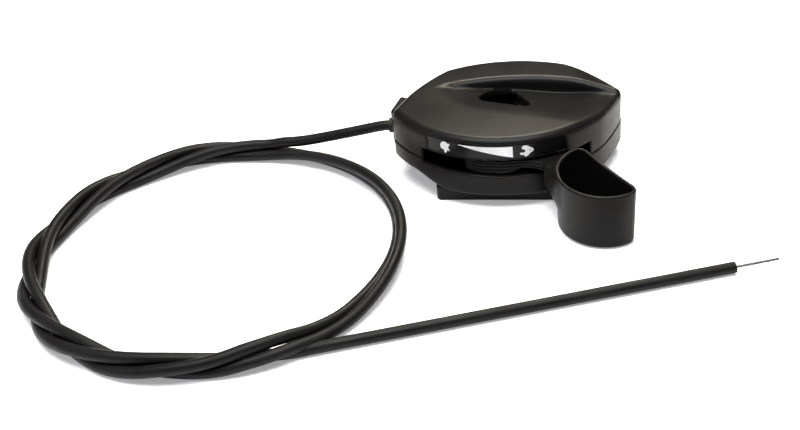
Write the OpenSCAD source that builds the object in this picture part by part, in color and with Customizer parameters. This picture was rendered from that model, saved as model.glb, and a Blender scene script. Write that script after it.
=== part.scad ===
// Lever throttle control for a walk-behind engine machine, with its push-pull cable.
// Origin: axis of the mounting bolt, at the underside of the mounting foot.
// +Z is up, +X runs along the housing away from the cable, -Y is the lever side.

/* [Housing] */
// Radius of the front wall
front_r = 57; // [50:0.5:64]
// How far behind the bolt axis the front wall's arc is centred
front_cy = 6; // [0:0.5:10]
// Radius of the rear wall
rear_r = 69; // [60:0.5:80]
// Height of the flat underside of the lower shell
shell_z = 7.5; // [6:0.5:12]
// Height of the seam between the two shells
split_z = 17.5; // [14:0.5:22]
// Height of the crown of the upper shell
top_z = 36.5; // [32:0.5:40]
// Wall thickness of both shells
wall = 2.4; // [1.6:0.2:3.2]
// Corner radius along the upper edge
edge_r = 3; // [1:0.5:4]

/* [Top valley and screw well] */
// Depth of the valley below the crown
valley_d = 8.5; // [4:0.5:10]
// Radius of the well's open mouth
well_r = 10.4; // [8:0.2:12]
// Radius of the well's deep hole
well_hole_r = 7; // [6:0.2:8]

/* [Mounting] */
// Radius of the hole for the mounting bolt
bolt_r = 3.25; // [2.5:0.05:4.3]
// Length of the foot along the housing
foot_l = 62; // [50:1:70]
// Depth of the foot from front to back
foot_w = 60; // [40:1:64]

/* [Lever] */
// Bearing of the lever's arm from +X, at rest
arm_deg = -58; // [-70:1:-50]
// Clearance of the hub on its sleeve
fit = 0.05; // [0.02:0.01:0.1]
// Height of the finger cup's rim
cup_z = 28; // [24:0.5:32]
// Radius of the finger cup's round side
cup_r = 21.2; // [18:0.2:24]
// Wall thickness of the finger cup
cup_wall = 1.8; // [1.2:0.1:2.6]

/* [Cable] */
// Outside diameter of the cable's sheath
sheath_d = 5; // [4:0.5:6]
// Diameter of the inner wire
wire_d = 1.2; // [1:0.1:1.6]
// Radius of the coiled cable
coil_r = 76; // [60:1:100]
// Bare wire that stands out of the sheath
bare_l = 20; // [10:1:40]

/* [Hidden] */
$fn = 64;
black = [0.11, 0.11, 0.105];
dark = [0.07, 0.07, 0.07];
steel = [0.62, 0.62, 0.6];
zinc = [0.72, 0.71, 0.66];
white = [0.85, 0.85, 0.85];
rear_c = [12, -42];
left_a = [-48.5, -24];
left_b = [-44.5, -3];
right_a = [48.5, -24];
right_b = [58.5, 9];
corner = [56.6, 5.2];
ceil_z = 25.6;
slot_top = 26;
anchor_r = 11.5;
wire_y = -10.4;
wire_z = 14.5;
sheath_r = sheath_d / 2;
coil_c = [-116.6, -84.8];
tail_deg = 16.6;
tail_end = [103.3, -97.2];
tail_z = 2.7;
posts = [[-28, 8], [42, -1], [9, 19]];
cup_c = [77.8, 3.5];
cup_flat = 6.9;

// The plan of the housing, grown or shrunk by d, between two heights
module plan_prism(z0, z1, d = 0) {
  intersection() {
    translate([0, front_cy, z0]) cylinder(r = front_r + d, h = z1 - z0);
    translate([rear_c.x, rear_c.y, z0]) cylinder(r = rear_r + d, h = z1 - z0);
    ends_prism(z0, z1, d);
  }
}

// The slab between the two slanted end walls
module ends_prism(z0, z1, d = 0) {
  la = atan2(left_b.y - left_a.y, left_b.x - left_a.x);
  ra = atan2(right_b.y - right_a.y, right_b.x - right_a.x);
  intersection() {
    translate([left_a.x, left_a.y, z0]) rotate([0, 0, la]) translate([-100, -200 + d, 0]) cube([200, 200, z1 - z0]);
    translate([right_a.x, right_a.y, z0]) rotate([0, 0, ra]) translate([-100, -d, 0]) cube([200, 200, z1 - z0]);
    translate([corner.x, corner.y, z0]) rotate([0, 0, 118]) translate([-100, -d, 0]) cube([200, 300, z1 - z0]);
  }
}

// A turned blank with a rounded upper edge
module rounded_disc(r, z0, z1, er) {
  rotate_extrude($fn = 128) {
    translate([0, z0]) square([r, z1 - er - z0]);
    translate([0, z0]) square([r - er, z1 - z0]);
    translate([r - er, z1 - er]) intersection() {
      circle(er);
      square(er);
    }
  }
}

// A sector of an upright ring about the bolt axis
module sector(r0, r1, a0, a1, z0, z1) {
  rotate([0, 0, a0]) rotate_extrude(angle = a1 - a0, $fn = 128) translate([r0, z0]) square([r1 - r0, z1 - z0]);
}

// The space cut out of the crown: a long hollow with a steep rear wall
module valley() {
  intersection() {
    translate([13.5, -112, 20]) cylinder(r1 = 116, r2 = 124, h = 24, $fn = 200);
    union() {
      translate([14, 14, top_z - valley_d - 0.4 + 75]) rotate([0, 0, -6]) rotate([0, 90, 0]) rotate_extrude($fn = 200)
        intersection() {
          translate([-95, 0]) circle(170, $fn = 200);
          translate([0, -90]) square([100, 180]);
        }
      translate([47, -24, 34.2]) rotate([-3.8, 3.8, 0]) translate([-120, -100, 0]) cube([200, 200, 20]);
    }
  }
}

module upper_solid() {
  intersection() {
    translate([0, front_cy, 0]) rounded_disc(front_r, split_z, top_z + 0.3, edge_r);
    translate([rear_c.x, rear_c.y, 0]) rounded_disc(rear_r, split_z, top_z, edge_r);
    ends_prism(split_z, top_z + 1);
    translate([5, -10, top_z - 450]) sphere(450, $fn = 200);
  }
}

module upper_shell() color(black) {
  difference() {
    union() {
      difference() {
        upper_solid();
        valley();
        plan_prism(split_z - 1, ceil_z, -wall);
        // crescent pockets that lighten the thick front and rear of the crown
        intersection() {
          plan_prism(ceil_z - 1, 31, -wall - 1.6);
          translate([-40, 19, 0]) cube([100, 30, 40]);
        }
        intersection() {
          plan_prism(ceil_z - 1, 32.4, -wall - 1.6);
          translate([-40, -60, 0]) cube([80, 25, 40]);
        }
      }
      // well tube
      translate([0, 0, 18.4]) cylinder(r = 9, h = 8);
      translate([0, 0, 24]) cylinder(r = well_r + 1.6, h = 3);
      // screw posts and the sheath's hold-down
      for (p = posts) translate([p.x, p.y, split_z]) cylinder(r = 4, h = 9);
      // cable entry boss on the left end wall
      translate([left_a.x, left_a.y, split_z]) rotate([0, 0, atan2(left_b.y - left_a.y, left_b.x - left_a.x)])
        translate([9, -1, 0]) cube([13, 3, 12]);
    }
    // screw well
    translate([0, 0, 24.6]) cylinder(r = well_r, h = 4.4);
    translate([0, 0, 29]) cylinder(r1 = well_r, r2 = 5.5, h = 3.4);
    translate([0, -6, 28]) cylinder(r = 6, h = 20);
    translate([0, 0, 20.4]) cylinder(r = well_hole_r, h = 8);
    translate([0, 0, 15]) cylinder(r = 5, h = 20);
    // lever slot through the front wall
    sector(38, 70, -131, -38, split_z - 1, slot_top);
    // shallow recess that the label lies in
    translate([0, front_cy, 0]) sector(front_r - 0.8, front_r + 3, -123, -57, 26.5, 33.6);
    // screws
    for (p = posts) translate([p.x, p.y, split_z - 1]) cylinder(r = 1.6, h = 6.5);
    entry_hole();
  }
}

module entry_hole() translate([-54, -8.4, 18.4]) rotate([0, 90, 0]) cylinder(r = 3.6, h = 11);

module lower_shell() color(black) {
  difference() {
    union() {
      difference() {
        plan_prism(shell_z, split_z, 0.4);
        plan_prism(shell_z + 2.5, split_z + 1, -wall);
      }
      for (p = posts) translate([p.x, p.y, shell_z]) cylinder(r = 4, h = split_z - shell_z);
      translate([left_a.x, left_a.y, 13]) rotate([0, 0, atan2(left_b.y - left_a.y, left_b.x - left_a.x)])
        translate([9, -1, 0]) cube([13, 3, split_z - 13]);
      // bed under the end of the sheath
      translate([-27, -19.8, shell_z + 1]) cube([7, 15, 2.9]);
    }
    // stepped underside at the cable end
    translate([-70, -60, 0]) cube([33.5, 100, 10]);
    translate([0, 0, 5]) cylinder(r = 5, h = 10);
    for (p = posts) translate([p.x, p.y, 0]) {
      cylinder(r = 1.8, h = 30);
      cylinder(r = 3.2, h = shell_z + 2.2);
    }
    // release window near the rear corner
    translate([50, 2, 9.6]) cube([14, 3.2, 6]);
    entry_hole();
  }
  if (shell_z < 10) color(black) difference() {
    intersection() {
      plan_prism(10, 12.4, 0.4);
      translate([-70, -60, 0]) cube([34.5, 100, 20]);
    }
    entry_hole();
    translate([-40, -13.8, 11.5]) cube([8, 6.8, 6]);
  }
}

module mounting_foot() color(black) {
  difference() {
    translate([-28.5, -44.5, 0]) cube([foot_l, foot_w, shell_z]);
    translate([0, 0, -1]) cylinder(r = 5, h = 20);
    // lightening pockets, open downwards
    for (p = [[-23, -39], [7, -39], [-23, -8], [7, -8]]) translate([p.x, p.y, -1]) cube([p.x < 0 ? 16 : 21, p.y < -20 ? 26 : 18, shell_z - 1]);
    for (p = posts) translate([p.x, p.y, -1]) cylinder(r = 3.6, h = 20);
  }
}

module pivot_sleeve() color(zinc) difference() {
  union() {
    cylinder(r = 5, h = 20.4);
    translate([0, 0, 20.4]) cylinder(r = 6.6, h = 1);
  }
  translate([0, 0, -1]) cylinder(r = bolt_r, h = 30);
}

module friction_washer() color([0.8, 0.78, 0.7]) translate([0, 0, 10]) difference() {
  cylinder(r = 8, h = 1);
  translate([0, 0, -1]) cylinder(r = 5 + fit, h = 4);
}

module wave_washer() color(steel) translate([0, 0, 17.45]) difference() {
  cylinder(r = 7.6, h = 0.95);
  translate([0, 0, -1]) cylinder(r = 5 + fit, h = 4);
}

// A plate with three shallow grooves round its rim
module grooved(r, z0, z1) {
  rotate_extrude($fn = 128) difference() {
    translate([0, z0]) square([r, z1 - z0]);
    for (k = [1:3]) translate([r, z0 + (z1 - z0) * k / 4]) rotate([0, 0, 45]) square(0.8, center = true);
  }
}

module wedge_prism(a0, a1, z0, z1) {
  am = (a0 + a1) / 2;
  translate([0, 0, z0]) linear_extrude(z1 - z0)
    polygon([[0, 0], 90 * [cos(a0), sin(a0)], 110 * [cos(am), sin(am)], 90 * [cos(a1), sin(a1)]]);
}

module throttle_lever() color(black) {
  difference() {
    union() {
      lever_plate();
      lever_hub();
      // arm through the slot
      rotate([0, 0, arm_deg]) translate([42, -7.6, 18.9]) cube([20, 15, 6.2]);
      // web that spreads into the cup
      translate([0, 0, 15]) linear_extrude(9.6) polygon([[21.9, -51.8], [29, -67], [42, -62], [39, -46], [35.4, -43.4]]);
      cup_place() cup_body(cup_r - 1.5, cup_r, cup_flat - cup_c.y, 0.5, cup_z);
    }
    // room under the well's mouth
    translate([0, 0, 23.7]) cylinder(r = 12.4, h = 4);
    cup_place() cup_body(cup_r - 1.5 - cup_wall - 0.2, cup_r - cup_wall, cup_flat - cup_c.y - cup_wall, 3, cup_z + 0.1);
  }
}

// Hub: a lower ring on the sleeve, a wall behind the bolt, an upper ring outside the well tube
module lever_hub() difference() {
  union() {
    translate([0, 0, 11.05]) cylinder(r = 7.8, h = 6.35);
    sector(7, 13.1, 20, 170, 11.6, 25);
    translate([0, 0, 18.6]) cylinder(r = 13.5, h = 6.8);
  }
  translate([0, 0, 5]) cylinder(r = 5 + fit, h = 30);
  translate([0, 0, 17.4]) cylinder(r = 9.4, h = 10);
}

// Shield that closes the slot, with a grooved rim
module lever_plate() difference() {
  union() {
    intersection() {
      grooved(48.2, 18.6, 25.4);
      wedge_prism(arm_deg - 32, arm_deg + 14, 18, 26);
    }
    intersection() {
      translate([-3, -20.8, 0]) grooved(27, 18.6, 25.4);
      wedge_prism(arm_deg - 52, arm_deg - 10, 18, 26);
    }
  }
  translate([0, 0, 17]) cylinder(r = 11, h = 10);
  for (k = [-34, -14, 4]) rotate([0, 0, arm_deg + k]) sector(20, 38, -7, 7, 21, 26);
}

// Cup frame: x runs outwards along the flat side, y towards the flat side
module cup_place() rotate([0, 0, -54]) translate([cup_c.x, cup_c.y, 0]) children();

module cup_body(r1, r2, flat, z0, z1) {
  difference() {
    intersection() {
      translate([0, 0, z0]) cylinder(r1 = r1, r2 = r2, h = z1 - z0, $fn = 96);
      translate([0, -6, z0]) cylinder(r1 = r1 + 0.9, r2 = r2 + 0.9, h = z1 - z0, $fn = 96);
    }
    translate([-40, flat, z0 - 1]) cube([80, 60, z1 - z0 + 2]);
    translate([0, flat + 229, z0 - 1]) cylinder(r = 230, h = z1 - z0 + 2, $fn = 300);
  }
}

module wire_anchor() color(steel)
  rotate([0, 0, -68]) translate([anchor_r, 0, 12.4]) cylinder(r = 1.4, h = 6.2);

module travel_stops() color(dark) {
  rotate([0, 0, -161.8]) translate([30, 0, 19]) cylinder(r = 2, h = ceil_z - 19);
  rotate([0, 0, -31.2]) translate([30, 0, 19]) cylinder(r = 2, h = ceil_z - 19);
}

module shell_screws() color(steel) for (p = posts) translate([p.x, p.y, 0]) difference() {
  union() {
    translate([0, 0, shell_z + 0.2]) cylinder(r = 3, h = 2);
    translate([0, 0, shell_z + 2.2]) cylinder(r = 1.6, h = 20 - shell_z);
  }
  for (a = [0, 90]) rotate([0, 0, a]) translate([-1.6, -0.3, shell_z - 1]) cube([3.2, 0.6, 2.2]);
}

module label_strip() color(dark) translate([0, front_cy, 0]) sector(front_r - 0.8, front_r - 0.3, -122.6, -57.4, 26.7, 33.4);

// The thin printed layer that stands proud of the label
module label_skin() translate([0, front_cy, 0]) sector(front_r - 0.3, front_r - 0.15, -122, -58, 26.8, 33.3);

module mark_slow() color(white) intersection() {
  label_skin();
  translate([0, front_cy, 0]) rotate([0, 0, -113.4]) translate([front_r - 3, 0, 30.2]) rotate([90, 0, 90]) linear_extrude(6) {
    intersection() {
      circle(2.1, $fn = 32);
      translate([-3, -0.9]) square([6, 4]);
    }
    translate([2.2, -0.2]) circle(0.75, $fn = 24);
    translate([-1.5, -1.4]) circle(0.55, $fn = 24);
    translate([1.3, -1.4]) circle(0.55, $fn = 24);
  }
}

module mark_wedge() color(white) intersection() {
  label_skin();
  translate([0, front_cy, 0]) rotate([0, 0, -94]) translate([front_r - 12, 0, 0]) rotate([90, 0, 90]) linear_extrude(20)
    polygon([[-11.4, 33.1], [11.4, 33.1], [11.4, 27]]);
}

module mark_fast() color(white) intersection() {
  label_skin();
  translate([0, front_cy, 0]) rotate([0, 0, -75.6]) translate([front_r - 3, 0, 30.2]) rotate([90, 0, 90]) linear_extrude(6) {
    circle(1.2, $fn = 32);
    translate([-1.5, -0.3]) circle(1.15, $fn = 32);
    translate([1.3, 0.9]) circle(0.8, $fn = 24);
    translate([0.1, 1.5]) rotate(20) square([1.5, 0.5]);
    translate([-2.9, -1.8]) rotate(20) square([2.2, 0.6]);
    translate([0.2, -1.9]) rotate(-25) square([2.1, 0.6]);
  }
}

module entry_grommet() color(dark) translate([-53.4, -8.4, 18.4]) rotate([0, 90, 0]) difference() {
  union() {
    cylinder(r = 3.6, h = 8.4);
  }
  translate([0, 0, -1]) cylinder(r = sheath_r + 0.3, h = 20);
}

module sheath_ferrule() color(steel) translate([-26.6, wire_y, wire_z]) rotate([0, 90, 0]) difference() {
  cylinder(r = 3.1, h = 6.2);
  translate([0, 0, -1]) cylinder(r = sheath_r, h = 6.4);
  translate([0, 0, -1]) cylinder(r = wire_d / 2 + 0.1, h = 20);
}

module cable_clamp() color(steel) difference() {
  union() {
    translate([-25.6, -15.4, 11.4]) cube([4, 10, 7]);
    translate([-25.6, -19.6, 11.4]) cube([4, 6, 1.2]);
  }
  translate([-40, wire_y, wire_z]) rotate([0, 90, 0]) cylinder(r = 3.1, h = 30);
  translate([-40, wire_y - 3.1, 10]) cube([30, 6.2, wire_z - 10]);
}

module clamp_screw() color(steel) translate([-23.6, -17.6, 12.6]) cylinder(r = 1.5, h = 1.2);

module inner_wire() color(steel) {
  translate([-23.4, wire_y, wire_z]) rotate([0, 90, 0]) cylinder(r = wire_d / 2, h = 25.4);
  difference() {
    translate([1.5, -15.4, wire_z - 1.5]) cube([5.6, 7.2, 3]);
    translate([2.51, -13.6, wire_z - 3]) cube([3.6, 7, 6]);
  }
}

// A round tube swept through route points, level rings turned to the path
module tube(route, r, n = 12) {
  m = len(route);
  function dir(i) = let (a = route[max(i - 1, 0)], b = route[min(i + 1, m - 1)], d = b - a) d / norm(d);
  function side(t) = let (s = cross([0, 0, 1], t)) s / norm(s);
  pts = [for (i = [0:m - 1]) let (t = dir(i), s = side(t), u = cross(t, s)) for (k = [0:n - 1])
    route[i] + r * (cos(360 * k / n) * s + sin(360 * k / n) * u)];
  faces = concat(
    [[for (k = [0:n - 1]) n - 1 - k]],
    [for (i = [0:m - 2]) for (k = [0:n - 1]) each [
      [i * n + k, i * n + (k + 1) % n, (i + 1) * n + (k + 1) % n],
      [i * n + k, (i + 1) * n + (k + 1) % n, (i + 1) * n + k]]],
    [[for (k = [0:n - 1]) (m - 1) * n + k]]);
  polyhedron(points = pts, faces = faces, convexity = 4);
}

// From the coil, in through the end wall, down to the ferrule
lead_route = [[-112, -8.8, 8.7], [-106, -8.8, 8.9], [-98, -8.8, 9.6], [-90, -8.8, 10.9], [-80, -8.7, 13],
  [-70, -8.6, 15.2], [-61, -8.4, 17.2], [-56, -8.4, 18.2], [-52, -8.4, 18.4], [-46, -8.4, 18.3],
  [-43, -8.7, 17.7], [-40, -9.4, 16.4], [-38, -9.9, 15.4], [-36, -10.3, 14.7], [-34.5, -10.4, 14.5], [-21.4, -10.4, 14.5]];

module cable_lead() color(dark) difference() {
  tube(lead_route, sheath_r);
  // bore that the inner wire slides in
  translate([-34.4, wire_y, wire_z]) rotate([0, 90, 0]) cylinder(r = wire_d / 2 + 0.2, h = 20);
}

tail_dir = [cos(tail_deg), sin(tail_deg), 0];
tail_tip = [tail_end.x, tail_end.y, tail_z];
tail_len = 190;
sleeve_l = 24;

module cable_tail() color(dark)
  tube([for (k = [0:10]) tail_tip - tail_dir * (sleeve_l + (tail_len - sleeve_l) * (10 - k) / 10)], sheath_r);

module cable_coil() color(dark) difference() {
  translate([coil_c.x, coil_c.y, 0]) rotate_extrude($fn = 180) translate([coil_r, 0]) {
    translate([-6.3, 2.6]) square([12.6, 6]);
    translate([-3.7, 0.1]) square([7.4, 11.2]);
    for (s = [-1, 1]) for (z = [2.7, 8.7]) translate([s * 3.7, z]) circle(2.6, $fn = 48);
  }
  // seat for the end of the lead
  translate([-112, -13, 5.8]) cube([40, 20, 10]);
  // seat for the start of the tail
  translate(tail_tip - tail_dir * tail_len) rotate([0, 0, tail_deg]) translate([0, -8, -5]) cube([60, 11.2, 11]);
}

module cable_end_sleeve() color(dark) translate(tail_tip) rotate([0, 0, tail_deg]) rotate([0, -90, 0]) difference() {
  cylinder(r = sheath_r, h = sleeve_l);
  translate([0, 0, -1]) cylinder(r = wire_d / 2 + 0.1, h = 21);
}

module wire_tip() color(steel) translate(tail_tip) rotate([0, 0, tail_deg]) rotate([0, 90, 0])
  translate([0, 0, -16]) cylinder(r = wire_d / 2, h = 16 + bare_l);

upper_shell();
lower_shell();
mounting_foot();
pivot_sleeve();
friction_washer();
wave_washer();
throttle_lever();
wire_anchor();
travel_stops();
shell_screws();
label_strip();
mark_slow();
mark_wedge();
mark_fast();
entry_grommet();
sheath_ferrule();
cable_clamp();
clamp_screw();
inner_wire();
cable_lead();
cable_coil();
cable_tail();
cable_end_sleeve();
wire_tip();
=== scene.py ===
"""Looks for the lever throttle control: shells, lever, label, hardware and the coiled cable."""
import bpy, bmesh, math
from functools import reduce
import numpy as np
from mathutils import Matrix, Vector
from mathutils.geometry import tessellate_polygon


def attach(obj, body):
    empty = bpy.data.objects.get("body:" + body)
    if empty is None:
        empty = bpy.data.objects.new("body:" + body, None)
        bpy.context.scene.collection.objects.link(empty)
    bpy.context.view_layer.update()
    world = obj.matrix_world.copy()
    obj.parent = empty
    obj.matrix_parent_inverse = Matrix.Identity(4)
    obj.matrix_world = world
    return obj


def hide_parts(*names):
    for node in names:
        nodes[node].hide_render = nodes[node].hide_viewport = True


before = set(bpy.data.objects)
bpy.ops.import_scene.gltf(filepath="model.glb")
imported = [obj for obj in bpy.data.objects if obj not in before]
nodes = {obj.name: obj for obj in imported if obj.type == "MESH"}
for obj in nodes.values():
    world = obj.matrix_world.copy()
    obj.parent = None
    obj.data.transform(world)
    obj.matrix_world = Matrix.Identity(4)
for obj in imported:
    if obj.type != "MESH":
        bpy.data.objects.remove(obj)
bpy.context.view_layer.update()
scene = bpy.context.scene
MM = 0.001

# ---------------------------------------------------------------- camera
cam_data = bpy.data.cameras.new("camera")
cam_data.sensor_width = 36
cam_data.lens = 51.75
cam_data.shift_x = -0.2375
cam_data.clip_start = 0.01
camera = bpy.data.objects.new("camera", cam_data)
camera.location = (0.042, -0.4772, 0.306)
camera.rotation_euler = (math.radians(54), 0, 0)
scene.collection.objects.link(camera)
scene.camera = camera


# ---------------------------------------------------------------- node helpers
class Nodes:
    """A short way to write a material's node tree."""

    def __init__(self, name):
        self.mat = bpy.data.materials.new(name)
        self.mat.use_nodes = True
        self.tree = self.mat.node_tree
        self.shader = self.tree.nodes["Principled BSDF"]
        self.coords = self.tree.nodes.new("ShaderNodeTexCoord").outputs["Object"]

    def add(self, kind, inputs=None, **props):
        node = self.tree.nodes.new("ShaderNode" + kind)
        for key, value in props.items():
            setattr(node, key, value)
        for key, value in (inputs or {}).items():
            self.put(node.inputs[key], value)
        return node

    def put(self, socket, value):
        if isinstance(value, bpy.types.NodeSocket):
            self.tree.links.new(value, socket)
        else:
            socket.default_value = value

    def noise(self, scale, detail=3.0, rough=0.5, vector=None):
        inputs = {"Vector": vector or self.coords, "Scale": scale, "Detail": detail, "Roughness": rough}
        return self.add("TexNoise", inputs).outputs["Fac"]

    def scaled(self, xyz):
        return self.add("Mapping", {"Vector": self.coords, "Scale": xyz}).outputs["Vector"]

    def ramp(self, fac, lo, hi, a=0.35, b=0.65):
        inputs = {"Value": fac, "From Min": a, "From Max": b, "To Min": lo, "To Max": hi}
        return self.add("MapRange", inputs).outputs["Result"]

    def math(self, op, a, b):
        return self.add("Math", {0: a, 1: b}, operation=op).outputs[0]

    def mix(self, fac, a, b):
        node = self.add("Mix", data_type="RGBA")
        for socket, value in zip([node.inputs[0], node.inputs[6], node.inputs[7]], [fac, a, b]):
            self.put(socket, value)
        return node.outputs[2]

    def bump(self, height, strength, distance, normal=None):
        inputs = {"Height": height, "Strength": strength, "Distance": distance}
        if normal is not None:
            inputs["Normal"] = normal
        return self.add("Bump", inputs).outputs["Normal"]

    def edges(self, radius):
        """1 along sharp edges, 0 on open faces."""
        bevel = self.add("Bevel", {"Radius": radius}, samples=4).outputs["Normal"]
        flat = self.add("NewGeometry").outputs["Normal"]
        dot = self.add("VectorMath", {0: bevel, 1: flat}, operation="DOT_PRODUCT").outputs["Value"]
        return self.ramp(dot, 1.0, 0.0, 0.80, 0.985)


def rgb(r, g=None, b=None):
    return (r, r if g is None else g, r if b is None else b, 1)


def moulding(name, base, rough, grain=0.35, wear=0.5):
    """Satin moulded plastic: fine spark-eroded grain, faint cloudy changes of sheen, rubbed edges."""
    n = Nodes(name)
    cloud = n.noise(35, 4, 0.55)
    grainy = n.noise(2600, 2, 0.6)
    scuff = n.noise(180, 5, 0.7, n.scaled((1.0, 0.25, 1.0)))
    edge = n.edges(0.0006)
    rubbed = n.math("MULTIPLY", edge, n.ramp(n.noise(140, 4), 0.0, wear, 0.42, 0.6))
    dark = rgb(base[0] * 0.8, base[1] * 0.8, base[2] * 0.8)
    light = rgb(base[0] * 1.25, base[1] * 1.22, base[2] * 1.18)
    body = n.mix(n.ramp(cloud, 0.0, 1.0), dark, light)
    body = n.mix(rubbed, body, rgb(base[0] * 2.6, base[1] * 2.5, base[2] * 2.4))
    n.put(n.shader.inputs["Base Color"], body)
    r = n.math("ADD", n.ramp(cloud, rough - 0.035, rough + 0.035), n.ramp(scuff, 0.0, 0.09, 0.55, 0.8))
    n.put(n.shader.inputs["Roughness"], n.math("SUBTRACT", r, n.math("MULTIPLY", rubbed, 0.12)))
    fine = n.bump(grainy, grain, 0.00004)
    n.put(n.shader.inputs["Normal"], n.bump(n.noise(22, 2), 0.25, 0.0002, fine))
    n.shader.inputs["Specular IOR Level"].default_value = 0.11
    return n.mat


def metal(name, base, rough, brushed=(1, 1, 1)):
    """Plated or drawn metal with fine brushing and dull patches."""
    n = Nodes(name)
    brush = n.noise(900, 3, 0.6, n.scaled(brushed))
    stain = n.noise(60, 4, 0.6)
    stained = rgb(base[0] * 0.7, base[1] * 0.68, base[2] * 0.62)
    n.put(n.shader.inputs["Base Color"], n.mix(n.ramp(stain, 0.0, 1.0, 0.4, 0.7), rgb(*base), stained))
    n.put(n.shader.inputs["Roughness"], n.ramp(brush, rough - 0.08, rough + 0.1))
    n.put(n.shader.inputs["Normal"], n.bump(brush, 0.25, 0.00003))
    n.shader.inputs["Metallic"].default_value = 1.0
    return n.mat


def rubbery(name, base, rough, scale=500.0, depth=0.00005):
    """Soft or printed surface: slight changes of colour and sheen over a fine grain."""
    n = Nodes(name)
    spot = n.noise(scale, 3, 0.6)
    dark, light = [rgb(*[c * k for c in base]) for k in (0.8, 1.3)]
    n.put(n.shader.inputs["Base Color"], n.mix(n.ramp(n.noise(50, 4), 0.0, 1.0), dark, light))
    n.put(n.shader.inputs["Roughness"], n.ramp(n.noise(120, 3), rough - 0.05, rough + 0.07))
    n.put(n.shader.inputs["Normal"], n.bump(spot, 0.3, depth))
    n.shader.inputs["Specular IOR Level"].default_value = 0.14
    return n.mat


SHELL = moulding("satin_black_moulding", (0.0064, 0.0061, 0.0057), 0.34)
LEVER = moulding("satin_black_lever", (0.0060, 0.0058, 0.0055), 0.36, 0.3, 0.6)
FOOT = moulding("satin_black_foot", (0.009, 0.0088, 0.0085), 0.45, 0.45)
FILM = rubbery("glossy_label_film", (0.006, 0.006, 0.006), 0.16, 1500.0, 0.00001)
PRINT = rubbery("white_print", (0.66, 0.67, 0.68), 0.5, 2500.0, 0.00001)
VINYL = rubbery("black_vinyl_sheath", (0.006, 0.006, 0.0058), 0.45, 260.0, 0.00008)
RUBBER = rubbery("black_rubber", (0.02, 0.02, 0.02), 0.6)
ZINC = metal("zinc_plate", (0.62, 0.60, 0.54), 0.32)
OXIDE = metal("dark_oxide_steel", (0.09, 0.09, 0.088), 0.42)
STEEL = metal("bright_steel_wire", (0.20, 0.195, 0.19), 0.34, (1, 8, 8))
NYLON = rubbery("natural_nylon", (0.62, 0.60, 0.52), 0.45)


def dress(obj, mat):
    obj.data.materials.clear()
    obj.data.materials.append(mat)


FINISH = {
    "upper_shell": SHELL, "lower_shell": SHELL, "mounting_foot": FOOT, "throttle_lever": LEVER,
    "label_strip": FILM, "mark_slow": PRINT, "mark_wedge": PRINT, "mark_fast": PRINT,
    "entry_grommet": RUBBER, "travel_stops": RUBBER, "friction_washer": NYLON, "pivot_sleeve": OXIDE,
    "wave_washer": STEEL, "wire_anchor": STEEL, "shell_screws": ZINC, "sheath_ferrule": ZINC,
    "cable_clamp": ZINC, "clamp_screw": ZINC, "inner_wire": STEEL, "wire_tip": STEEL,
    "cable_lead": VINYL, "cable_coil": VINYL, "cable_tail": VINYL, "cable_end_sleeve": VINYL,
}
for name, mat in FINISH.items():
    dress(nodes[name], mat)


def new_mesh(name, bm, mat, smooth=True):
    me = bpy.data.meshes.new(name)
    bm.normal_update()
    bm.to_mesh(me)
    bm.free()
    obj = bpy.data.objects.new(name, me)
    scene.collection.objects.link(obj)
    me.materials.append(mat)
    for p in me.polygons:
        p.use_smooth = smooth
    return obj


# ---------------------------------------------------------------- cable
SHEATH_D = 5.0
REST_Z = SHEATH_D / 2 + 0.12    # height of a strand's middle on the floor
COIL_C = Vector((-116.6, -84.8))
COIL_R = 76.0
TWIST_R = 3.0
START_T = 86.5
END_T = 1006.6
TAIL_DEG = 16.6
TAIL_TIP = Vector((103.3, -97.2, 2.7))
SLEEVE_L = 24.0
LEAD = [(-21.6, -10.4, 14.5), (-28, -10.4, 14.5), (-34.5, -10.4, 14.5), (-36, -10.3, 14.7),
        (-38, -9.9, 15.4), (-40, -9.4, 16.4), (-43, -8.7, 17.7), (-46, -8.4, 18.3),
        (-52, -8.4, 18.4), (-56, -8.4, 18.2), (-61, -8.4, 17.2), (-70, -8.6, 15.2),
        (-80, -8.7, 13), (-90, -8.8, 10.9), (-98, -8.8, 9.6), (-106, -8.8, 8.9)]
# How far a strand has turned about the bundle's middle, by its angle round the coil, over one turn
TWIST = [(80, -300), (101, -240), (119, -180), (140, -120), (156, -60), (178, 0), (190, 60), (207, 120),
         (219, 180), (230, 240), (248, 300), (261, 360), (283, 420), (300, 480), (340, 545), (381, 600),
         (440, 660)]
TWIST_T = TWIST[0][0]
TWIST_PER_TURN = TWIST[-1][1] - TWIST[0][1]
TWO_STRANDS_T = 293             # degrees past TWIST_T: middle of the stretch with only two strands
RISE_T, RISE = 301, 2.3         # where the upper strands climb over the one that leaves as the tail


def lerp_table(table, x):
    for (x0, y0), (x1, y1) in zip(table, table[1:]):
        if x <= x1:
            return y0 + (y1 - y0) * (x - x0) / (x1 - x0)
    return table[-1][1]


def bump_at(x, centre, width):
    d = abs(x - centre) / width
    return 0.0 if d >= 1 else 0.5 + 0.5 * math.cos(math.pi * d)


def raw_twist(t):
    turn = math.floor((t - TWIST_T) / 360)
    return lerp_table(TWIST, t - 360 * turn) + TWIST_PER_TURN * turn


def twist(t):
    """Smoothed twist; where only two strands run, they sit opposite each other."""
    mean = sum(raw_twist(max(TWIST_T, t + k)) for k in range(-12, 13, 3)) / 9
    if not START_T + 200 < t < START_T + 720:
        return mean
    apart = 30 if t < TWIST_T + 360 else -30
    return mean + apart * bump_at((t - TWIST_T) % 360, TWO_STRANDS_T, 75)


def strands_at(t):
    """Angles of all the strands that pass the same place on the ring as t."""
    base = (t - START_T) % 360 + START_T
    return [base + 360 * k for k in range(3) if START_T - 12 <= base + 360 * k <= END_T + 12]


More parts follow.
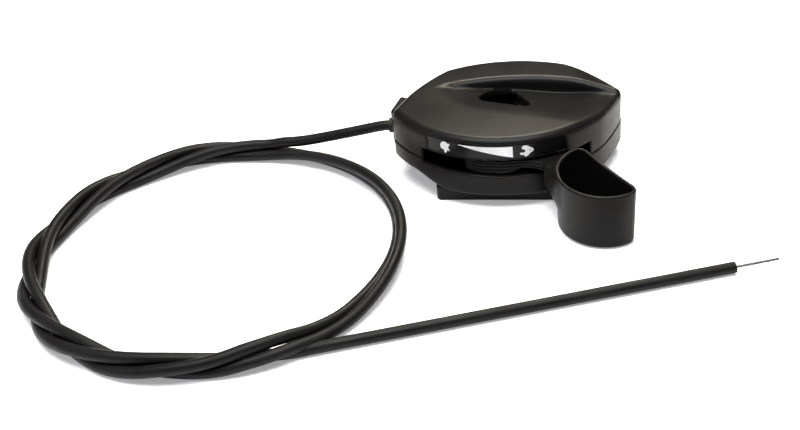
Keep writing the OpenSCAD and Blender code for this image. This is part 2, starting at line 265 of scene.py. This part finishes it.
def coil_point(t):
    """Middle of the cable at angle t: the bundle rests on the floor by its lowest strand."""
    psi = math.radians(twist(t))

    def low(u):
        return max(-math.sin(math.radians(twist(v))) for v in strands_at(u))

    seat = sum(low(t + k) for k in (-8, -4, 0, 4, 8)) / 5
    z = REST_Z + TWIST_R * (seat + math.sin(psi))
    if t < END_T - 60:
        z += RISE * bump_at(t % 360, RISE_T, 26)
    r = COIL_R + TWIST_R * 1.05 * math.cos(psi)
    a = math.radians(t)
    return Vector((COIL_C.x + r * math.cos(a), COIL_C.y + r * math.sin(a), max(z, REST_Z)))


def catmull(points, step=3.0):
    """Smooth curve through the points, sampled about every step millimetres."""
    pts = [Vector(p) for p in points]
    out = []
    for i in range(len(pts) - 1):
        a, b, c, d = pts[max(i - 1, 0)], pts[i], pts[i + 1], pts[min(i + 2, len(pts) - 1)]
        n = max(1, round((c - b).length / step))
        for k in range(n):
            u = k / n
            square, cube = 2 * a - 5 * b + 4 * c - d, 3 * b - a - 3 * c + d
            out.append(0.5 * (2 * b + (c - a) * u + square * u * u + cube * u ** 3))
    out.append(pts[-1])
    return out


tail_dir = Vector((math.cos(math.radians(TAIL_DEG)), math.sin(math.radians(TAIL_DEG)), 0))
coil = [coil_point(START_T + 4 * k) for k in range(int((END_T - START_T) / 4) + 1)]
tail = [TAIL_TIP - tail_dir * s for s in (186, 176, 166, 150, 120, 90, 60, 40, SLEEVE_L)]
route = catmull(LEAD + [tuple(p) for p in coil] + [tuple(p) for p in tail], 2.5)

curve = bpy.data.curves.new("cable_sheath", "CURVE")
curve.dimensions = "3D"
curve.bevel_depth = SHEATH_D / 2 * MM
curve.bevel_resolution = 7
curve.use_fill_caps = True
spline = curve.splines.new("POLY")
spline.points.add(len(route) - 1)
for p, q in zip(spline.points, route):
    p.co = (*(q * MM), 1)
spline.use_smooth = True
cable = bpy.data.objects.new("cable_sheath", curve)
scene.collection.objects.link(cable)
curve.materials.append(VINYL)
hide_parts("cable_lead", "cable_coil", "cable_tail")
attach(cable, "housing")

# ---------------------------------------------------------------- solids from distance fields
def rmax(a, b, r):
    """Intersection of two fields with an edge rounded to radius r."""
    return np.minimum(-r, np.maximum(a, b)) + np.hypot(np.maximum(a + r, 0), np.maximum(b + r, 0))


def rmin(a, b, r):
    """Union of two fields with a fillet of radius r."""
    return -rmax(-a, -b, r)


def cut(a, b, r):
    """a with b taken away, the edge rounded to radius r."""
    return rmax(a, -b, r)


def within(*fields):
    """Sharp intersection."""
    return reduce(np.maximum, fields)


def joined(*fields):
    """Sharp union."""
    return reduce(np.minimum, fields)


def bored(a, *holes):
    """a with sharp-edged holes."""
    return within(a, *[-hole for hole in holes])


def between(v, lo, hi):
    """Negative where v lies between lo and hi."""
    return np.maximum(lo - v, v - hi)


def step(v, lo, hi):
    """Smooth rise from 0 at lo to 1 at hi."""
    t = np.clip((v - lo) / (hi - lo), 0, 1)
    return t * t * (3 - 2 * t)


def turned(x, y, deg):
    """Coordinates along and across a direction."""
    c, s = math.cos(math.radians(deg)), math.sin(math.radians(deg))
    return x * c + y * s, y * c - x * s


def box_field(x, y, z, lo, hi):
    return within(between(x, lo[0], hi[0]), between(y, lo[1], hi[1]), between(z, lo[2], hi[2]))


def rod(x, y, z, cx, cy, r, z0, z1, e=0.0):
    """Upright cylinder, its end edges rounded to e."""
    side, ends = np.hypot(x - cx, y - cy) - r, between(z, z0, z1)
    return rmax(side, ends, e) if e else np.maximum(side, ends)


def bearing_field(x, y, a0, a1):
    """Negative between two bearings about the origin, in millimetres at the point's own radius."""
    mid, half = math.radians((a0 + a1) / 2), math.radians((a1 - a0) / 2)
    off = np.angle(np.exp(1j * (np.arctan2(y, x) - mid)))
    return (np.abs(off) - half) * np.hypot(x, y)


def field_mesh(name, field, lo, hi, cell, mat):
    """Surface nets: one vertex in each cell that the surface crosses, then pulled onto the surface."""
    axes = [np.arange(lo[i], hi[i] + cell, cell) for i in range(3)]
    X, Y, Z = np.meshgrid(*axes, indexing="ij")
    F = field(X, Y, Z)
    n = [len(v) - 1 for v in axes]
    total, weight = np.zeros((*n, 3)), np.zeros(n)
    for axis in range(3):
        others = [i for i in range(3) if i != axis]
        for p in (0, 1):
            for q in (0, 1):
                start = [0, 0, 0]
                start[others[0]], start[others[1]] = p, q
                sl = tuple(slice(start[i], start[i] + n[i]) for i in range(3))
                end = list(start)
                end[axis] += 1
                el = tuple(slice(end[i], end[i] + n[i]) for i in range(3))
                fa, fb = F[sl], F[el]
                cross = (fa < 0) != (fb < 0)
                t = np.where(cross, fa / np.where(cross, fa - fb, 1), 0)
                for i in range(3):
                    total[..., i] += np.where(cross, (t if i == axis else start[i]), 0)
                weight += cross
    live = weight > 0
    index = np.full(n, -1)
    index[live] = np.arange(live.sum())
    where = np.argwhere(live)
    P = (where + total[live] / weight[live][:, None]) * cell + np.array(lo)
    for _ in range(3):
        f = field(*P.T)
        h = 0.02
        g = np.stack([field(*(P + h * np.eye(3)[i]).T) - f for i in range(3)], -1) / h
        move = f[:, None] * g / np.maximum((g * g).sum(-1), 0.2)[:, None]
        size = np.linalg.norm(move, axis=-1, keepdims=True)
        P = P - move * np.minimum(1, 0.35 * cell / np.maximum(size, 1e-9))
    faces = []
    for axis in range(3):
        u, v = (axis + 1) % 3, (axis + 2) % 3
        core = [slice(1, n[i]) for i in range(3)]
        core[axis] = slice(0, n[axis])
        ahead = list(core)
        ahead[axis] = slice(1, n[axis] + 1)
        fa, fb = F[tuple(core)] < 0, F[tuple(ahead)] < 0
        for flip, hit in ((False, fa & ~fb), (True, ~fa & fb)):
            at = np.argwhere(hit)
            at += np.array([0 if i == axis else 1 for i in range(3)])
            ring = []
            for du, dv in ((-1, -1), (0, -1), (0, 0), (-1, 0)):
                c = at.copy()
                c[:, u] += du
                c[:, v] += dv
                ring.append(index[tuple(c.T)])
            quad = np.stack(ring, -1)
            faces.append(quad[:, ::-1] if flip else quad)
    faces = np.concatenate(faces)
    me = bpy.data.meshes.new(name)
    me.from_pydata((P * MM).tolist(), [], faces.tolist())
    me.update()
    me.shade_smooth()
    obj = bpy.data.objects.new(name, me)
    scene.collection.objects.link(obj)
    me.materials.append(mat)
    return obj


# ---------------------------------------------------------------- housing
FRONT_R, FRONT_Y = 57.2, 6.0
REAR_MIDDLE, LEFT_TRIM, RIGHT_TRIM = (9.0, -48.5, 74.0), (52.5, -55.0, 107.0), (-9.0, -56.5, 88.0)
LEFT_A, LEFT_B = (-49.9, -24.0), (-45.3, -3.0)
RIGHT_A, RIGHT_B = (49.4, -24.0), (62.0, 9.0)
SHELL_Z, TOP_Z, WALL = 7.5, 36.6, 2.4
CEILING_Z = 25.6                        # underside of the thick top
SEAM_Z, SEAM_RISE, SEAM_GAP = 17.5, 2.6, 0.12
POSTS = ((-28, 8), (42, -1), (9, 19))   # the three shell screws
BOLT_R = 5.0
CREST_DIR = (0.2458, 0.9693)            # across the valley, away from the front
VALLEY_DEPTH, VALLEY_WIDTH = 7.6, 25.0
VALLEY_WALL = (15.0, -112.0, 117.6)     # arc of the valley's rear wall, at the height below
VALLEY_WALL_Z = 36.0
MOUTH_Z = 27.8                          # floor of the screw well
SLOT_DEG, LIP_DEG, SLOT_R = (-131, -37.5), (-131, -40.3), 38
SLOT_TOP, SLOT_TOP_RIGHT, LIP_Z = 26.0, 24.6, 17.9
SEAT_DEG, SEAT_R, SEAT_Z = (-123, -57), 56.2, (26.5, 33.6)
BOSS_DEG = 77.6                         # direction of the raised pad at the cable's entry
BOSS_U, BOSS_V, BOSS_Z = (8.5, 22.5), (-3, 3.4), (12.5, 30.5)
HOLE_Y, HOLE_Z, HOLE_R = -8.4, 18.4, 3.6


def along(x, y, a, b):
    """Coordinates along the line from a to b and out to its left."""
    deg = math.degrees(math.atan2(b[1] - a[1], b[0] - a[0]))
    return turned(x - a[0], y - a[1], deg)


def arc(x, y, circle):
    cx, cy, r = circle
    return np.hypot(x - cx, y - cy) - r


def plan(x, y, d=0.0):
    """Outline of the housing, grown by d: negative inside."""
    left = along(x, y, LEFT_A, LEFT_B)[1]
    right = -along(x, y, RIGHT_A, RIGHT_B)[1]
    sides = rmax(rmax(arc(x, y, (0, FRONT_Y, FRONT_R)), left, 1.0), right, 1.4)
    rear = rmax(rmax(arc(x, y, REAR_MIDDLE), arc(x, y, LEFT_TRIM), 1.0), arc(x, y, RIGHT_TRIM), 1.0)
    return rmax(sides, rear, 1.8) - d


def seam(x):
    """Height of the joint between the shells: it climbs towards the cable's end."""
    return SEAM_Z + SEAM_RISE * step(-x, -5, 33)


def crest(x, y):
    """Distance in front of the soft crest that runs along the front of the valley."""
    back = CREST_DIR[0] * (x + 25) + CREST_DIR[1] * (y + 6)
    return -back - 3.3 + 2.6 * step(-x, 8, 25)


def crown(x, y):
    """Height of the top: gently domed, lower at its right rear end."""
    dome = (x - 5) ** 2 / 2200 + (y + 24) ** 2 / np.where(y < -24, 1500, 3400)
    return TOP_Z - dome - 2.4 * step(x, 30, 58) * step(y, -12, 3)


def valley_floor(x, y):
    depth = VALLEY_DEPTH - 3.2 * step(x, 22, 56)
    return 36.3 + depth * crest(x, y) / VALLEY_WIDTH + 3.0 * step(-x, 20, 36)


def well_mouth(x, y):
    """Rounded triangle: its base lies along the crest in front, its blunt point behind."""
    base = -CREST_DIR[0] * x - CREST_DIR[1] * y - 16.0
    left = -0.947 * x + 0.324 * y - 6.1
    right = 0.921 * x + 0.394 * y - 6.9
    return rmax(rmax(left, right, 4.0), base, 5.5)


def front_slot(x, y, bearings, ends):
    return within(bearing_field(x, y, *bearings), SLOT_R - np.hypot(x, y), ends)


def entry_boss(x, y):
    """Plan of the raised pad that the cable enters by."""
    u, v = turned(x - LEFT_A[0], y - LEFT_A[1], BOSS_DEG)
    return rmax(between(u, *BOSS_U), between(v, *BOSS_V), 1.4)


def entry_hole(x, y, z):
    return within(np.hypot(y - HOLE_Y, z - HOLE_Z) - HOLE_R, between(x, -58, -43))


def upper_field(x, y, z):
    edge = 4.0 - 0.9 * step(y, -22, 0)
    body = rmax(rmax(plan(x, y), (z - crown(x, y)) * 0.98, edge), seam(x) - z, 0.25)
    # valley: a sloping floor and a steep rear wall
    rear = (arc(x, y, VALLEY_WALL) + (VALLEY_WALL_Z - z) / 7) * 0.98
    floor = (valley_floor(x, y) - z) * 0.94
    body = cut(body, rmax(rear, floor, 1.4), 3.0)
    # hollow inside
    body = bored(body, within(plan(x, y, -WALL), z - CEILING_Z, 16.0 - z))
    # well: its mouth in the valley, a counterbore, and the hole for the pivot
    body = rmin(body, rod(x, y, z, 0, 0, 9.0, 18.4, 26.4), 0.3)
    mouth = rmax(well_mouth(x, y) + (34 - z) * 0.06, rear + 0.5, 2.5)
    body = cut(body, rmax(mouth, MOUTH_Z - z, 1.0), 0.6)
    body = cut(body, rod(x, y, z, 0, 0, 9.6, 24.8, MOUTH_Z + 0.4), 0.4)
    body = bored(body, rod(x, y, z, 0, 0, 7.0, 20.4, MOUTH_Z + 0.6), rod(x, y, z, 0, 0, BOLT_R, 10, 28))
    # slot for the lever, and the label's shallow seat
    bearing = np.degrees(np.arctan2(y, x))
    roof = SLOT_TOP - (SLOT_TOP - SLOT_TOP_RIGHT) * step(bearing, SEAT_DEG[1] - 1.5, SEAT_DEG[1])
    body = cut(body, front_slot(x, y, SLOT_DEG, z - roof), 0.35)
    seat = within(bearing_field(x, y - FRONT_Y, *SEAT_DEG), SEAT_R - np.hypot(x, y - FRONT_Y))
    body = cut(body, within(seat, between(z, *SEAT_Z)), 0.2)
    # cable entry
    boss = rmax(entry_boss(x, y), z - BOSS_Z[1], 1.6)
    body = rmin(body, within(boss, seam(x) - z), 0.5)
    return bored(body, entry_hole(x, y, z))


def lower_field(x, y, z):
    top = seam(x) - SEAM_GAP
    under = SHELL_Z - 0.2 - 1.3 * step(x, 2, 34) + 4.8 * step(-x, 23, 39)
    body = rmax(rmax(plan(x, y, 0.3), (under - z) * 0.95, 0.9), z - top, 0.3)
    body = cut(body, front_slot(x, y, LIP_DEG, LIP_Z - z), 0.3)
    body = bored(body, within(plan(x, y, -WALL), under + 2.2 - z))
    body = rmin(body, rmax(entry_boss(x, y), within(BOSS_Z[0] - z, z - top), 0.3), 0.4)
    for px, py in POSTS:
        body = joined(body, rod(x, y, z, px, py, 4.0, SHELL_Z, SEAM_Z - SEAM_GAP))
        body = bored(body, rod(x, y, z, px, py, 1.9, 0, 30), rod(x, y, z, px, py, 3.3, 0, SHELL_Z + 2.2))
    body = bored(body, rod(x, y, z, 0, 0, BOLT_R, 0, 14))
    # the small window at the right rear, and the bed under the cable clamp
    body = cut(body, box_field(x, y, z, (50, 2, 9.6), (64, 5.2, 15.6)), 0.3)
    body = joined(body, box_field(x, y, z, (-27, -19.8, 8.5), (-20, -4.8, 11.4)))
    return bored(body, entry_hole(x, y, z))


def foot_field(x, y, z):
    sides = rmax(between(x, -28.5, 33.5), between(y, -44.5, 15.5), 2.2)
    body = rmax(sides, between(z, 0, SHELL_Z + 0.02), 0.5)
    body = bored(body, rod(x, y, z, 0, 0, BOLT_R, -1, 20))
    # four pockets, open below
    for px, w in ((-23, 16), (7, 21)):
        for py, h in ((-39, 26), (-8, 18)):
            pocket = rmax(between(x, px, px + w), between(y, py, py + h), 1.5)
            body = cut(body, rmax(pocket, z - SHELL_Z + 2, 0.8), 0.4)
    return bored(body, *[rod(x, y, z, px, py, 3.6, -1, 20) for px, py in POSTS])


def moulded(name, field, lo, hi, cell, mat, body, node):
    """A piece of a moving body, made from a field, that stands for one CAD node."""
    obj = field_mesh(name, field, lo, hi, cell, mat)
    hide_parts(node)
    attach(obj, body)


CELL, LEVER_CELL = 0.6, 0.55            # grid steps of the meshes
TOP_BOX = (-57, -54, 16.5), (64, 31, 38)
BASE_BOX = (-57, -54, 6.5), (64, 31, 21.5)
FOOT_BOX = (-30, -46, -1), (35, 17, 8.5)
moulded("housing_top", upper_field, *TOP_BOX, CELL, SHELL, "housing", "upper_shell")
moulded("housing_base", lower_field, *BASE_BOX, CELL, SHELL, "housing", "lower_shell")
moulded("base_foot", foot_field, *FOOT_BOX, CELL, FOOT, "housing", "mounting_foot")

# ---------------------------------------------------------------- lever
ARM_DEG = -58.0
CUP_DEG, CUP_C, CUP_FLAT = -54.0, (77.8, 3.5), 3.4
CUP_R, CUP_DRAFT, CUP_Z, CUP_BOTTOM, CUP_WALL = 21.6, 0.6, 28.0, 0.5, 1.7
FLAT_BOW_R = 230.0                      # the cup's flat side bows out a little
SHIELD_R, PLATE_TOP, PLATE_BOTTOM = 50.0, 24.5, 18.1
NOSE = (-2.0, -26.5, 23.2)              # the shield's rounded left part
GROOVE, GROOVE_HALF, GROOVE_Z = 0.75, 0.62, (18.6, 25.4)


def cup_plan(u, w, z, d=0.0):
    """The cup's D-shaped outline with draft, grown by d."""
    r = CUP_R - CUP_DRAFT * (CUP_Z - z) / (CUP_Z - CUP_BOTTOM)
    round_side = rmax(np.hypot(u, w) - r, np.hypot(u, w + 6) - r - 0.9, 2.0)
    flat_side = rmax(w - CUP_FLAT, FLAT_BOW_R - np.hypot(u, w - CUP_FLAT - FLAT_BOW_R + 1), 0.2)
    return rmax(round_side, flat_side, 4.2) - d


def rim_grooves(z, z0, z1):
    """How far three shallow grooves go into a rim, by height."""
    depth = np.zeros_like(z)
    for k in (1, 2, 3):
        off = np.abs(z - z0 - (z1 - z0) * k / 4)
        depth = np.maximum(depth, GROOVE * np.clip(1 - off / GROOVE_HALF, 0, 1))
    return depth


def lever_plate(x, y, z, a, b):
    """Grooved shield in the slot, sweeping out into the arm: a and b run along and across the arm."""
    groove = rim_grooves(z, *GROOVE_Z)
    shield = within(np.hypot(x, y) - SHIELD_R + groove, bearing_field(x, y, ARM_DEG - 32, ARM_DEG + 14))
    nose = rmax(arc(x, y, NOSE) + groove, bearing_field(x, y, ARM_DEG - 51, ARM_DEG - 10), 4.0)
    arm = rmax(between(a, 40, 66), between(b, -7.6, 7.4), 1.5) + 0.6 * groove
    sweep = rmin(joined(shield, nose), arm, 0.6 + 10.0 * step(-b, 0, 5))
    # the lower edge rises to pass over the housing's lip and, inside, over the cable clamp
    bearing = np.degrees(np.arctan2(y, x))
    low = PLATE_BOTTOM + 2.5 * step(bearing, -86, -73) + 2.2 * step(-bearing, 103, 113)
    low = np.where((np.hypot(x, y) < 44) & (bearing < -88), np.maximum(low, PLATE_BOTTOM + 2.2), low)
    plate = rmax(sweep, np.maximum(low - z, z - PLATE_TOP), 0.6)
    return within(plate, 11 - np.hypot(x, y))


def lever_field(x, y, z):
    u, w = turned(x, y, CUP_DEG)
    u, w = u - CUP_C[0], w - CUP_C[1]
    a, b = turned(x, y, ARM_DEG)
    web = rmax(rmax(between(a, 55.5, 72), between(b, -10.5, 8.0), 3), between(z, 14.0, 24.8), 2.5)
    cup = rmax(rmax(cup_plan(u, w, z), z - CUP_Z, 0.7), CUP_BOTTOM - z, 1.4)
    body = rmin(rmin(cup, web, 6.0), lever_plate(x, y, z, a, b), 2.5)
    body = cut(body, rmax(cup_plan(u, w, z, -CUP_WALL), 3.0 - z, 2.2), 0.7)
    # hub, ring and the wall that joins them behind
    hub = rod(x, y, z, 0, 0, 7.8, 11.05, 17.4, 0.3)
    ring = rod(x, y, z, 0, 0, 13.5, *GROOVE_Z, 0.3)
    wall = within(np.hypot(x, y) - 13.1, bearing_field(x, y, 20, 170), between(z, 11.6, 25))
    body = joined(body, hub, ring, wall)
    # stepped bore: pivot sleeve, shell boss, washer
    bores = ((5.05, 5), (9.4, 17.4), (12.4, 23.7))
    return bored(body, *[rod(x, y, z, 0, 0, r, z0, 30) for r, z0 in bores])


LEVER_BOX = (-34, -86, -0.5), (66, 15, 29)
moulded("lever_and_cup", lever_field, *LEVER_BOX, LEVER_CELL, LEVER, "lever", "throttle_lever")

# ---------------------------------------------------------------- printed marks on the label
TORTOISE = [(-2.2, 0.2), (-2.1, 1.3), (-1.5, 2.3), (-0.4, 2.9), (0.7, 2.7), (1.4, 2.1), (2.2, 2.2),
            (2.5, 1.6), (2.0, 1.0), (1.7, 0.6), (1.9, -0.4), (2.4, -1.4), (1.7, -1.3), (1.2, -1.0),
            (0.9, -2.0), (0.3, -2.9), (-0.3, -2.4), (-0.4, -1.2), (-1.4, -0.9), (-2.0, -0.5)]
HARE = [(-1.9, 2.6), (-0.9, 2.9), (0.2, 2.7), (1.0, 2.2), (1.7, 1.6), (2.5, 1.2), (3.1, 0.4),
        (2.9, -0.4), (2.1, -0.8), (1.5, -1.2), (0.9, -2.0), (0.1, -2.6), (-0.7, -2.9), (-1.3, -2.4),
        (-1.0, -1.7), (-1.8, -1.9), (-2.8, -1.7), (-3.3, -1.1), (-2.6, -0.6), (-1.8, -0.9),
        (-0.9, -0.5), (-0.6, 0.2), (-1.1, 0.8), (-2.0, 1.2), (-2.3, 1.9)]
HARE_EYE = [(1.2, 0.6), (1.2, 0.0), (1.8, 0.1), (1.8, 0.5)]
PRINT_IN, PRINT_OUT = 56.6, 56.84
SCALE_L, SCALE_H, SCALE_STRIPS = 24.6, 5.5, 26


def printed(name, loops, deg, z, stands_for, faces=None):
    """A thin patch wrapped round the label: loops are its outline and any holes, about its middle."""
    bm = bmesh.new()
    flat = [p for loop in loops for p in loop]
    rings = []
    for radius in (PRINT_IN, PRINT_OUT):
        ring = []
        for u, v in flat:
            a = math.radians(deg) + u / PRINT_OUT
            x, y = radius * math.cos(a), FRONT_Y + radius * math.sin(a)
            ring.append(bm.verts.new((x * MM, y * MM, (z + v) * MM)))
        rings.append(ring)
    inner, outer = rings
    for face in faces or tessellate_polygon([[Vector((u, v, 0)) for u, v in loop] for loop in loops]):
        bm.faces.new([inner[i] for i in face])
        bm.faces.new([outer[i] for i in reversed(face)])
    start = 0
    for loop in loops:
        for i in range(len(loop)):
            p, q = start + i, start + (i + 1) % len(loop)
            bm.faces.new([inner[p], inner[q], outer[q], outer[p]])
        start += len(loop)
    bmesh.ops.recalc_face_normals(bm, faces=bm.faces)
    obj = new_mesh(name, bm, PRINT, smooth=False)
    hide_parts(stands_for)
    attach(obj, "housing")


def wedge(width, height, count):
    """Outline and upright strips of the scale: level along the top, tapering to a point at the left."""
    top = [(width * k / count, 0) for k in range(count, 0, -1)]
    slope = [(width * k / count, -height * k / count) for k in range(1, count + 1)]
    outline = [(0, 0)] + slope + top
    strips = [(k, k + 1, 2 * count - k, 2 * count + 1 - k) for k in range(1, count)]
    return outline, [(0, 1, 2 * count)] + strips


scale_outline, scale_strips = wedge(SCALE_L, SCALE_H, SCALE_STRIPS)
printed("print_slow", [TORTOISE], -113.4, 30.0, "mark_slow")
printed("print_scale", [scale_outline], -106.8, 32.8, "mark_wedge", scale_strips)
printed("print_fast", [HARE, HARE_EYE], -75.6, 30.0, "mark_fast")

# ---------------------------------------------------------------- stage
bm = bmesh.new()
bmesh.ops.create_grid(bm, x_segments=8, y_segments=8, size=3.0)
paper = Nodes("white_sweep")
paper.put(paper.shader.inputs["Base Color"], paper.mix(paper.noise(3, 2), rgb(0.93), rgb(0.95)))
paper.shader.inputs["Roughness"].default_value = 0.9
paper.shader.inputs["Emission Color"].default_value = rgb(1)
paper.shader.inputs["Emission Strength"].default_value = 0.3
floor = new_mesh("floor", bm, paper.mat)

world = bpy.data.worlds.new("studio")
world.use_nodes = True
world.node_tree.nodes["Background"].inputs["Color"].default_value = (0.8, 0.86, 1.0, 1)
world.node_tree.nodes["Background"].inputs["Strength"].default_value = 0.12
scene.world = world


def softbox(name, at, aim, size, power, colour=(1, 1, 1)):
    light = bpy.data.lights.new(name, "AREA")
    light.shape = "RECTANGLE"
    light.size, light.size_y = size
    light.energy = power
    light.color = colour
    obj = bpy.data.objects.new(name, light)
    obj.location = at
    obj.rotation_euler = (Vector(aim) - Vector(at)).to_track_quat("-Z", "Y").to_euler()
    scene.collection.objects.link(obj)


softbox("overhead", (-0.05, -0.2, 1.2), (-0.03, -0.05, 0), (0.9, 0.7), 24)
softbox("rear_key", (0.0, 0.66, 0.86), (0.02, -0.03, 0), (0.36, 0.28), 12, (1, 0.90, 0.76))
softbox("left_fill", (-1.2, -0.5, 0.7), (0, 0, 0), (0.6, 0.6), 2.5, (0.95, 0.97, 1))
scene.view_settings.view_transform = "Standard"
